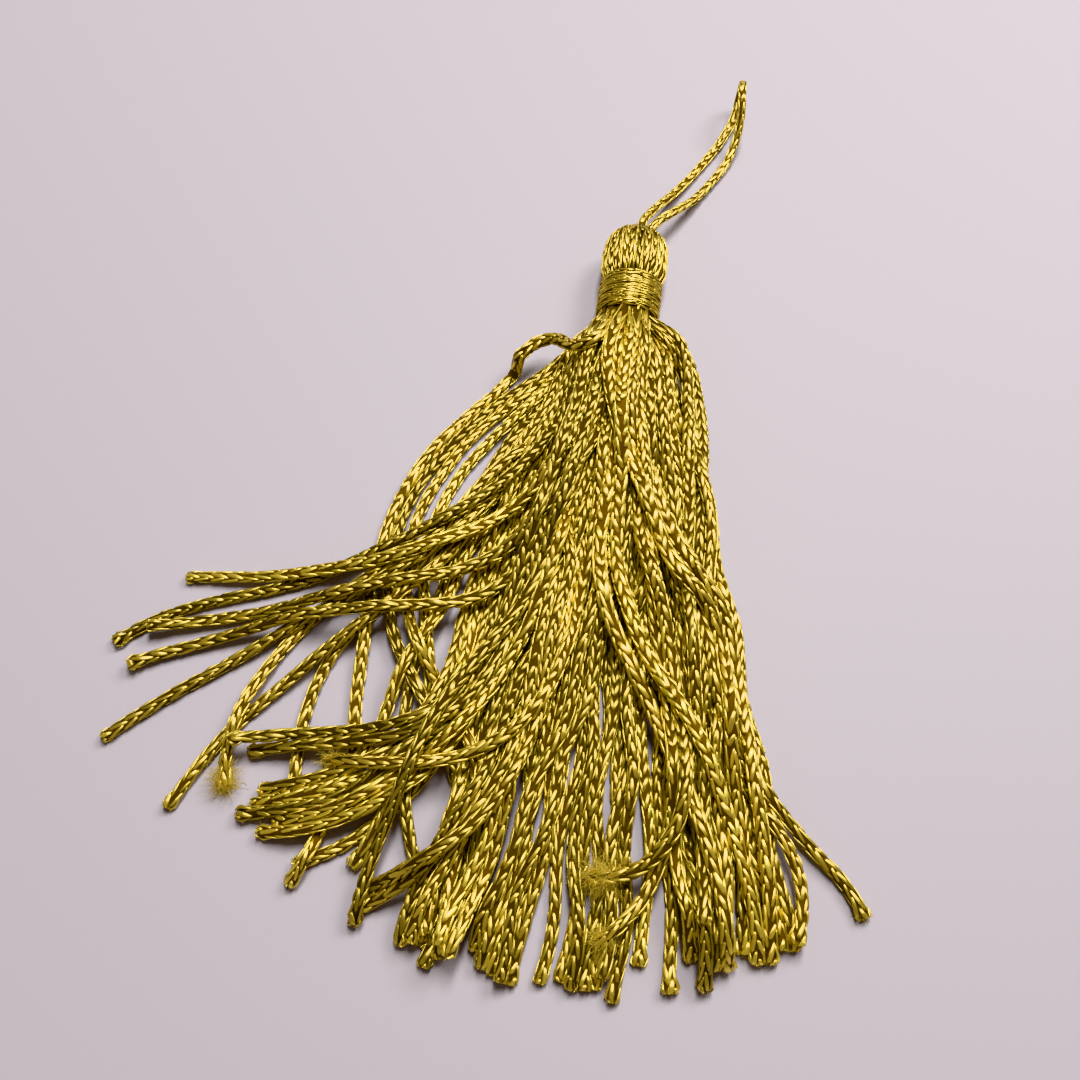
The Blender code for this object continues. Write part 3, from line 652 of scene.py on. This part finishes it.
class Path:
    """A cord's centre line with the two directions across it, and the cord's half sizes."""

    def __init__(self, points, side, half_wide, half_high):
        self.points = np.asarray(points, dtype=float)
        steps = np.linalg.norm(np.diff(self.points, axis=0), axis=1)
        self.run = np.concatenate(([0.0], np.cumsum(steps)))
        along = np.gradient(self.points, axis=0)
        along /= np.linalg.norm(along, axis=1, keepdims=True)
        side = side - along * np.sum(side * along, axis=1, keepdims=True)
        self.side = side / np.linalg.norm(side, axis=1, keepdims=True)
        self.up = np.cross(self.side, along)
        self.half_wide = np.broadcast_to(half_wide, len(self.run))
        self.half_high = np.broadcast_to(half_high, len(self.run))

    @property
    def length(self):
        return self.run[-1]

    def place(self, run, angle, out):
        """Points at a run along the cord, an angle round it and a share of its half size."""
        def read(values):
            if values.ndim == 1:
                return np.interp(run, self.run, values)[..., None]
            return np.stack([np.interp(run, self.run, values[:, k]) for k in range(3)], axis=-1)

        sideways = read(self.side) * (read(self.half_wide) * (out * np.cos(angle))[..., None])
        upwards = read(self.up) * (read(self.half_high) * (out * np.sin(angle))[..., None])
        return read(self.points) + sideways + upwards


def carried_side(line):
    """A direction across a bending line that is carried along it without twisting."""
    along = np.gradient(line, axis=0)
    along /= np.linalg.norm(along, axis=1, keepdims=True)
    side = np.cross(along[0], (0.0, 0.0, 1.0))
    sides = []
    for direction in along:
        side = side - direction * np.dot(side, direction)
        side = side / np.linalg.norm(side)
        sides.append(side)
    return np.array(sides)


def ring_grid(places, sides):
    """Every place along a tube together with every angle round it."""
    return np.meshgrid(places, 2 * math.pi * np.arange(sides) / sides, indexing="ij")


def tube_faces(rings, sides):
    """Faces of a tube, with its points ring by ring, and of the caps on its two ends."""
    row = np.arange(rings - 1)[:, None] * sides
    this = np.arange(sides)
    after = (this + 1) % sides
    walls = np.stack([row + this, row + after, row + sides + after, row + sides + this], axis=-1)
    caps = np.array([this[::-1], (rings - 1) * sides + this])
    return [walls.reshape(-1, 4), caps]


def leaf_template():
    """One leaf as (along, turn, out, across) points, with its faces."""
    rows = [[(*LEAF[0][:3], 0.0)]]
    for along, turn, out, wide, thick in LEAF[1:-1]:
        ring = []
        for across, outward in LEAF_RING:
            ring.append((along, turn + wide * across, out + thick * outward, wide * across))
        rows.append(ring)
    rows.append([(*LEAF[-1][:3], 0.0)])
    points = np.array([point for row in rows for point in row])
    first = [0]
    for row in rows:
        first.append(first[-1] + len(row))
    triangles, quads = [], []
    sides = len(LEAF_RING)
    for k in range(sides):
        n = (k + 1) % sides
        triangles.append((0, first[1] + k, first[1] + n))
        for low, high in zip(first[1:-3], first[2:-2]):
            quads.append((low + n, low + k, high + k, high + n))
        triangles.append((first[-2], first[-3] + n, first[-3] + k))
    return points, np.array(triangles), np.array(quads)


LEAF_POINTS, LEAF_TRIANGLES, LEAF_QUADS = leaf_template()


def leaf_faces(mirrored):
    """Faces of the leaves, turned over for those that are mirrored."""
    faces = []
    for template in (LEAF_TRIANGLES, LEAF_QUADS):
        every = template + np.arange(len(mirrored))[:, None, None] * len(LEAF_POINTS)
        every[mirrored] = every[mirrored][:, :, ::-1]
        faces.append(every.reshape(-1, template.shape[1]))
    return faces


def leaf_grain(path, run, angle, out, lean, pitch):
    """The direction across the yarn at every point of the leaves."""
    round_it = path.place(run, angle + GRAIN_STEP, out) - path.place(run, angle - GRAIN_STEP, out)
    lengthways = (path.place(run + GRAIN_STEP * pitch, angle + lean, out)
                  - path.place(run - GRAIN_STEP * pitch, angle - lean, out))
    share = np.sum(round_it * lengthways, axis=-1) / (np.sum(lengthways**2, axis=-1) + TINY)
    grain = round_it - lengthways * share[..., None]
    return grain / (np.linalg.norm(grain, axis=-1, keepdims=True) + TINY)


def round_end(left):
    """Share of a cord's size at a distance from its end, which is rounded over."""
    near = np.clip(1.0 - left / END_ROUND, 0.0, END_SHUT)
    return np.sqrt(1.0 - near**2)


def above_surface(points):
    """The same points, with none below the surface that the part lies on."""
    points[..., 2] = np.maximum(points[..., 2], 0.0)
    return points


def knit(stock, path, rng, pitch=PITCH, start=0.0, opening=0.0, tone=0.5, stretch=0.0):
    """One knitted cord: two leaves for every stitch of each wale, over a middle painted dark as
    shade.
    """
    roll = rng.uniform(0.0, 2 * math.pi)
    twist = rng.uniform(-MOST_TWIST, MOST_TWIST)
    pitch = pitch * (1.0 + rng.uniform(-PITCH_CHANCE, PITCH_CHANCE))
    end = path.length
    stitches = int((end - start) / pitch) + 1
    k, wale, sign = np.meshgrid(np.arange(stitches), np.arange(WALES), (1.0, -1.0), indexing="ij")
    k, wale, sign = k.ravel()[:, None], wale.ravel()[:, None], sign.ravel()[:, None]
    loose, slant, lift, size, rock, shade = (
        np.array([[rng.gauss(0.0, spread)] for _ in range(len(k))])
        for spread in (LEAF_LOOSE, LEAF_SLANT, LEAF_LIFT, LEAF_SIZE, LEAF_ROCK, LEAF_TONE))
    along, turn, out, across = LEAF_POINTS.T
    stagger = WALE_SHIFT * wale + LEG_SHIFT * sign
    place = k + (along - LEAF_MIDDLE) * (1.0 + size) + LEAF_MIDDLE + stagger + loose
    run = start + place * pitch
    run = run * (1.0 + stretch * np.exp(-np.clip(run, 0.0, None) / STRETCH_RUN))
    run = np.clip(run, 0.0, end)
    angle = roll + twist * run + wale * (2 * math.pi / WALES)
    angle = angle + sign * (turn * (1.0 + slant) + loose)
    opened = 1.0 + opening * smoothstep((run - end + OPENING_RUN) / OPENING_GROWTH)
    tilt = lift * np.clip(along - LEAF_MIDDLE, -LEAF_TILTED, LEAF_TILTED)
    height = (out + lift * LIFT_SHARE + tilt + rock * across) * (round_end(end - run) * opened)
    points = above_surface(path.place(run, angle, height))
    grain = leaf_grain(path, run, angle, out, GRAIN_STEP * sign * LEAF_LEAN, pitch)
    # painted shade: a leaf darkens towards the hollow colour the lower it lies in the cord
    depth = np.broadcast_to(smoothstep((out - LEAF_DARK) / LEAF_LIGHTENS), run.shape)
    tones = tone + shade + END_LIGHT * smoothstep(1.0 - (end - run) / END_LIGHT_RUN)
    stock.add(points, leaf_faces(sign[:, 0] < 0), tones.ravel(), depth.ravel(),
              grain.reshape(-1, 3))

    rings = np.arange(0.0, end - END_ROUND - END_ROOM, pitch * CORE_PITCH)
    rings = np.append(rings, end - END_ROUND * np.array(END_RINGS))
    run, angle = ring_grid(rings, CORE_SIDES)
    tube = above_surface(path.place(run, angle, CORE_SHARE * round_end(end - run)))
    beside = path.place(run, angle + GRAIN_STEP, 1.0) - tube
    # painted shade: the cord's middle takes the hollow colour, lifted to the light face at its
    # cut end
    pale = END_PALE * smoothstep(1.0 - (end - run) / END_ROUND)
    stock.add(tube, tube_faces(len(rings), CORE_SIDES), tone, pale.ravel(),
              beside.reshape(-1, 3))


def fibre(stock, start, heading, length, rng, tone):
    """One loose fibre: a thin thread that bends as it goes."""
    points = [start]
    bend = np.array([rng.gauss(0, FIBRE_BEND) for _ in range(3)])
    for _ in range(FIBRE_JOINTS):
        crimp = np.array([rng.gauss(0, FIBRE_CRIMP) for _ in range(3)])
        heading = heading + bend + crimp - (0.0, 0.0, FIBRE_DROOP)
        heading = heading / np.linalg.norm(heading)
        point = points[-1] + heading * length / FIBRE_JOINTS
        point[2] = max(point[2], 2 * FIBRE)
        points.append(point)
    points = np.array(points)
    path = Path(points, carried_side(points), FIBRE, FIBRE)
    run, angle = ring_grid(path.run, FIBRE_SIDES)
    faces = tube_faces(FIBRE_JOINTS + 1, FIBRE_SIDES)
    stock.add(path.place(run, angle, 1.0), faces, tone, FIBRE_DEPTH)


def fray(stock, path, count, reach, spread, rng):
    """Fibres that stick out of a cord's cut end."""
    along = path.points[-1] - path.points[-3]
    along = along / np.linalg.norm(along)
    for _ in range(count):
        angle = rng.uniform(0.0, 2 * math.pi)
        out = rng.uniform(0.0, FRAY_WIDTH)
        back = FRAY_BACK + FRAY_DEPTH * reach * rng.random()
        start = path.place(path.length - back, angle, out)
        outward = path.side[-1] * math.cos(angle) + path.up[-1] * math.sin(angle)
        lean = math.radians(abs(rng.gauss(0.0, spread)))
        heading = along * math.cos(lean) + outward * math.sin(lean)
        length = reach * rng.uniform(*FIBRE_LENGTHS)
        fibre(stock, start, heading, length, rng, rng.uniform(*FIBRE_TONES))


def shows_at_neck(slot):
    """Every second strand of the outer ring is drawn full size, over its neighbours."""
    x, z = slot
    down = (AXIS_HEIGHT - z) / HEIGHT_SHARE
    radius, count = NECK_RINGS[0]
    place = math.atan2(x, down) * count / (2 * math.pi) - 0.5
    return math.hypot(x, down) > radius - RING_TOLERANCE and round(place) % 2 == 0


def skirt_path(strand):
    """One strand of the skirt as it is drawn: fuller than its solid, on the same route."""
    points = np.column_stack((strand["xy"], strand["z"]))
    heading = np.gradient(strand["xy"], axis=0)
    side = np.column_stack((heading[:, 1], -heading[:, 0], np.zeros(len(heading))))
    root = points[:1] + (0.0, ROOT_REACH, 0.0)
    points = np.vstack((root, points))
    side = np.vstack((side[:1], side))
    upper = smoothstep((strand["order"] - BOLD_ORDER) / BOLD_SPAN)
    size = FULLNESS + BOLD * upper * (1.0 - smoothstep((strand["s"] - BOLD_RUN) / BOLD_RUN))
    if strand["name"] in BOLD_LOCKS:
        size = size + LOCK_BOLD
    swell = np.zeros(len(strand["s"]))
    if shows_at_neck(strand["slot"]):
        swell = NECK_SWELL * (1.0 - smoothstep(strand["s"] / SWELL))
    wide = (strand["width"] * size + swell) / 2
    high = (strand["thick"] * size + SWELL_HEIGHT * swell) / 2
    points[1:, 2] += SWELL_HEIGHT * swell / 2
    return Path(points, side, np.append(wide[0], wide), np.append(high[0], high))


def head_path(index):
    """One cord of the head, from the binding over the shoulder to the crown."""
    y, radius = np.array((HEAD_START, *HEAD_PROFILE, HEAD_END)).T
    angle = 2 * math.pi * (index + 0.5) / HEAD_CORDS
    y = y - HEAD_CORD_HALF * smoothstep((y - CROWN_TURN) / CROWN_TURN_RUN)
    radius = np.maximum(radius - HEAD_CORD_HALF, HEAD_LEAST_RADIUS)
    height = AXIS_HEIGHT - radius * HEIGHT_SHARE * math.cos(angle)
    height = np.maximum(height, HEAD_CORD_HALF)
    line = smooth_path(np.column_stack((radius * math.sin(angle), y, height)), ROUTE_STEP)
    side = np.tile((math.cos(angle), 0.0, HEIGHT_SHARE * math.sin(angle)), (len(line), 1))
    near = np.hypot(line[:, 0], (line[:, 2] - AXIS_HEIGHT) / HEIGHT_SHARE)
    wide = np.clip(math.pi * near / HEAD_CORDS * HEAD_OVERLAP, *HEAD_HALF_WIDTHS)
    return Path(line, side, wide, HEAD_CORD_HALF)


def binding_path():
    """The cord wound round the neck, turn beside turn."""
    steps = BINDING_TURNS * BINDING_STEPS
    t = np.arange(steps + 1) / steps
    angle = 2 * math.pi * BINDING_TURNS * t
    y = BINDING_TOP - BINDING_CORD / 2 - (BINDING_TOP - BINDING_FOOT - BINDING_CORD) * t
    y = y + BINDING_WAVE * np.sin(BINDING_WAVES * angle + BINDING_PHASE) * np.sin(math.pi * t)
    half_high = BINDING_CORD * BINDING_HALF_HEIGHT
    radius = BINDING_RADIUS - half_high
    height = np.maximum(AXIS_HEIGHT - radius * HEIGHT_SHARE * np.cos(angle), half_high)
    line = np.column_stack((radius * np.sin(angle), y, height))
    side = np.tile((0.0, 1.0, 0.0), (len(line), 1))
    return Path(line, side, BINDING_CORD / 2 * BINDING_OVERLAP, half_high)


def loop_path(route):
    """The hanging loop, drawn on straight at both ends of its route, into the head."""
    tucks = []
    for end, inner in ((route[0], route[1]), (route[-1], route[-2])):
        inward = (end - inner) / np.linalg.norm(end - inner)
        tucks.append(end + np.outer(LOOP_TUCK * np.array(TUCK_POINTS), inward))
    line = np.vstack((tucks[0], route, tucks[1][::-1]))
    return Path(line, carried_side(line), LOOP_DIAMETER / 2, LOOP_DIAMETER / 2)


def inner_body(stock):
    """The body that the head and the neck are wound over, painted dark as the shade inside them.
    """
    places, radii = np.array(BODY_LINE).T
    y, angle = ring_grid(places, BODY_SIDES)
    x = radii[:, None] * np.sin(angle)
    z = AXIS_HEIGHT - radii[:, None] * HEIGHT_SHARE * np.cos(angle)
    outward = [part[:, ::-1] for part in tube_faces(len(places), BODY_SIDES)]
    # painted shade: the body takes the hollow colour at the darkest tone
    stock.add(np.stack((x, y, z), axis=-1), outward, 0.0, 0.0)


def silk(name, light, painted_hollow_shade, roughness, metallic):
    """Satin yarn: a light face and a dull hollow painted dark as shade, with each cord a little
    off the next.
    """
    material = bpy.data.materials.new(name)
    material.use_nodes = True
    nodes, links = material.node_tree.nodes, material.node_tree.links
    shader = nodes["Principled BSDF"]

    def attribute(label):
        node = nodes.new("ShaderNodeAttribute")
        node.attribute_name = label
        return node

    def mapped(value, low, high):
        node = nodes.new("ShaderNodeMapRange")
        node.inputs["To Min"].default_value = low
        node.inputs["To Max"].default_value = high
        links.new(value, node.inputs["Value"])
        return node.outputs["Result"]

    depth = attribute("depth").outputs["Fac"]
    tone = attribute("tone").outputs["Fac"]
    # painted shade: where the depth attribute is low, the light face colour gives way to the
    # hollow colour
    mix = nodes.new("ShaderNodeMix")
    mix.data_type = "RGBA"
    mix.inputs[MIX_LOW].default_value = (*painted_hollow_shade, 1.0)
    mix.inputs[MIX_HIGH].default_value = (*light, 1.0)
    links.new(depth, mix.inputs[MIX_SHARE])
    vary = nodes.new("ShaderNodeHueSaturation")
    links.new(mapped(tone, *TONES), vary.inputs["Value"])
    links.new(mix.outputs[MIX_RESULT], vary.inputs["Color"])
    links.new(vary.outputs["Color"], shader.inputs["Base Color"])
    links.new(mapped(depth, HOLLOW_ROUGHNESS, roughness), shader.inputs["Roughness"])
    links.new(attribute("grain").outputs["Vector"], shader.inputs["Tangent"])
    shader.inputs["Metallic"].default_value = metallic
    shader.inputs["Specular IOR Level"].default_value = YARN_SPECULAR
    shader.inputs["Anisotropic"].default_value = YARN_ANISOTROPY
    return material


def area_light(name, place, aim, size, power, colour):
    lamp = bpy.data.lights.new(name, "AREA")
    lamp.shape = "RECTANGLE"
    lamp.size, lamp.size_y = size
    lamp.energy = power
    lamp.color = colour
    thing = add_object(name, lamp)
    thing.location = place
    direction = Vector(np.subtract(aim, place))
    thing.rotation_euler = direction.to_track_quat("-Z", "Y").to_euler()


def stage_and_lights():
    """A plain pale floor, soft studio light and the photograph's camera."""
    h = FLOOR_HALF
    plane = bpy.data.meshes.new("floor")
    plane.from_pydata([(-h, -h, 0), (h, -h, 0), (h, h, 0), (-h, h, 0)], [], [(0, 1, 2, 3)])
    floor = add_object("floor", plane)
    floor.location = (0.0, 0.0, -FLOOR_DROP)
    paint = bpy.data.materials.new("floor")
    paint.use_nodes = True
    shader = paint.node_tree.nodes["Principled BSDF"]
    shader.inputs["Base Color"].default_value = FLOOR_COLOUR
    shader.inputs["Roughness"].default_value = FLOOR_ROUGHNESS
    shader.inputs["Specular IOR Level"].default_value = FLOOR_SPECULAR
    plane.materials.append(paint)

    world = bpy.data.worlds.new("studio")
    bpy.context.scene.world = world
    world.use_nodes = True
    sky = world.node_tree.nodes["Background"]
    sky.inputs["Color"].default_value = SKY_COLOUR
    sky.inputs["Strength"].default_value = SKY_STRENGTH
    for light in LIGHTS:
        area_light(*light)
    bpy.context.scene.view_settings.view_transform = "Khronos PBR Neutral"

    camera = bpy.data.cameras.new("camera")
    camera.sensor_width = CAMERA_SENSOR
    camera.lens = CAMERA_LENS
    camera.clip_start = CAMERA_NEAR
    view = add_object("camera", camera)
    view.location = CAMERA_PLACE
    view.rotation_euler = (math.radians(CAMERA_TILT), 0.0, math.radians(CAMERA_TURN))
    bpy.context.scene.camera = view


def hank_pieces(rng, gold):
    """The skirt a few strands to a piece, lowest first, its loose fibres, and the head."""
    strands = strand_routes()
    pieces, fuzz = [], Stock()
    for first in range(0, len(strands), PIECE_STRANDS):
        stock = Stock()
        for strand in strands[first:first + PIECE_STRANDS]:
            path = skirt_path(strand)
            knit(stock, path, rng, start=-rng.random(), opening=rng.uniform(*END_OPENING),
                 tone=rng.random(), stretch=NECK_STRETCH)
            fray(fuzz, path, *CUT_FRAY, rng)
            for name, *frayed in FRAYS:
                if name == strand["name"]:
                    fray(fuzz, path, *frayed, rng)
        pieces.append(stock.piece("skirt_%d" % (len(pieces) + 1), gold))
    pieces.append(fuzz.piece("loose_fibres", silk("silk_fibre", *FIBRE_YARN)))
    stock = Stock()
    inner_body(stock)
    for index in range(HEAD_CORDS):
        knit(stock, head_path(index), rng, pitch=HEAD_PITCH, start=-rng.random(),
             tone=rng.random())
    pieces.append(stock.piece("head", gold))
    return pieces


def dress():
    """Every visible piece, each in place of its CAD solid."""
    rng = random.Random(SEED + 1)
    gold = silk("silk_cord", *CORD_YARN)
    for piece in hank_pieces(rng, gold):
        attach(piece, "root")
        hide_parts("strand_hank")

    stock = Stock()
    knit(stock, binding_path(), rng, pitch=BINDING_PITCH, tone=BINDING_TONE)
    binding = stock.piece("binding", silk("binding_thread", *BINDING_YARN))
    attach(binding, "root")
    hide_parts("neck_binding")

    route = smooth_path(LOOP_ROUTE, ROUTE_STEP)
    stock = Stock()
    knit(stock, loop_path(route), rng, tone=LOOP_TONE)
    loop = stock.piece("loop", gold)
    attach(loop, "root")
    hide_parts("hanging_loop")


stage_and_lights()
dress()
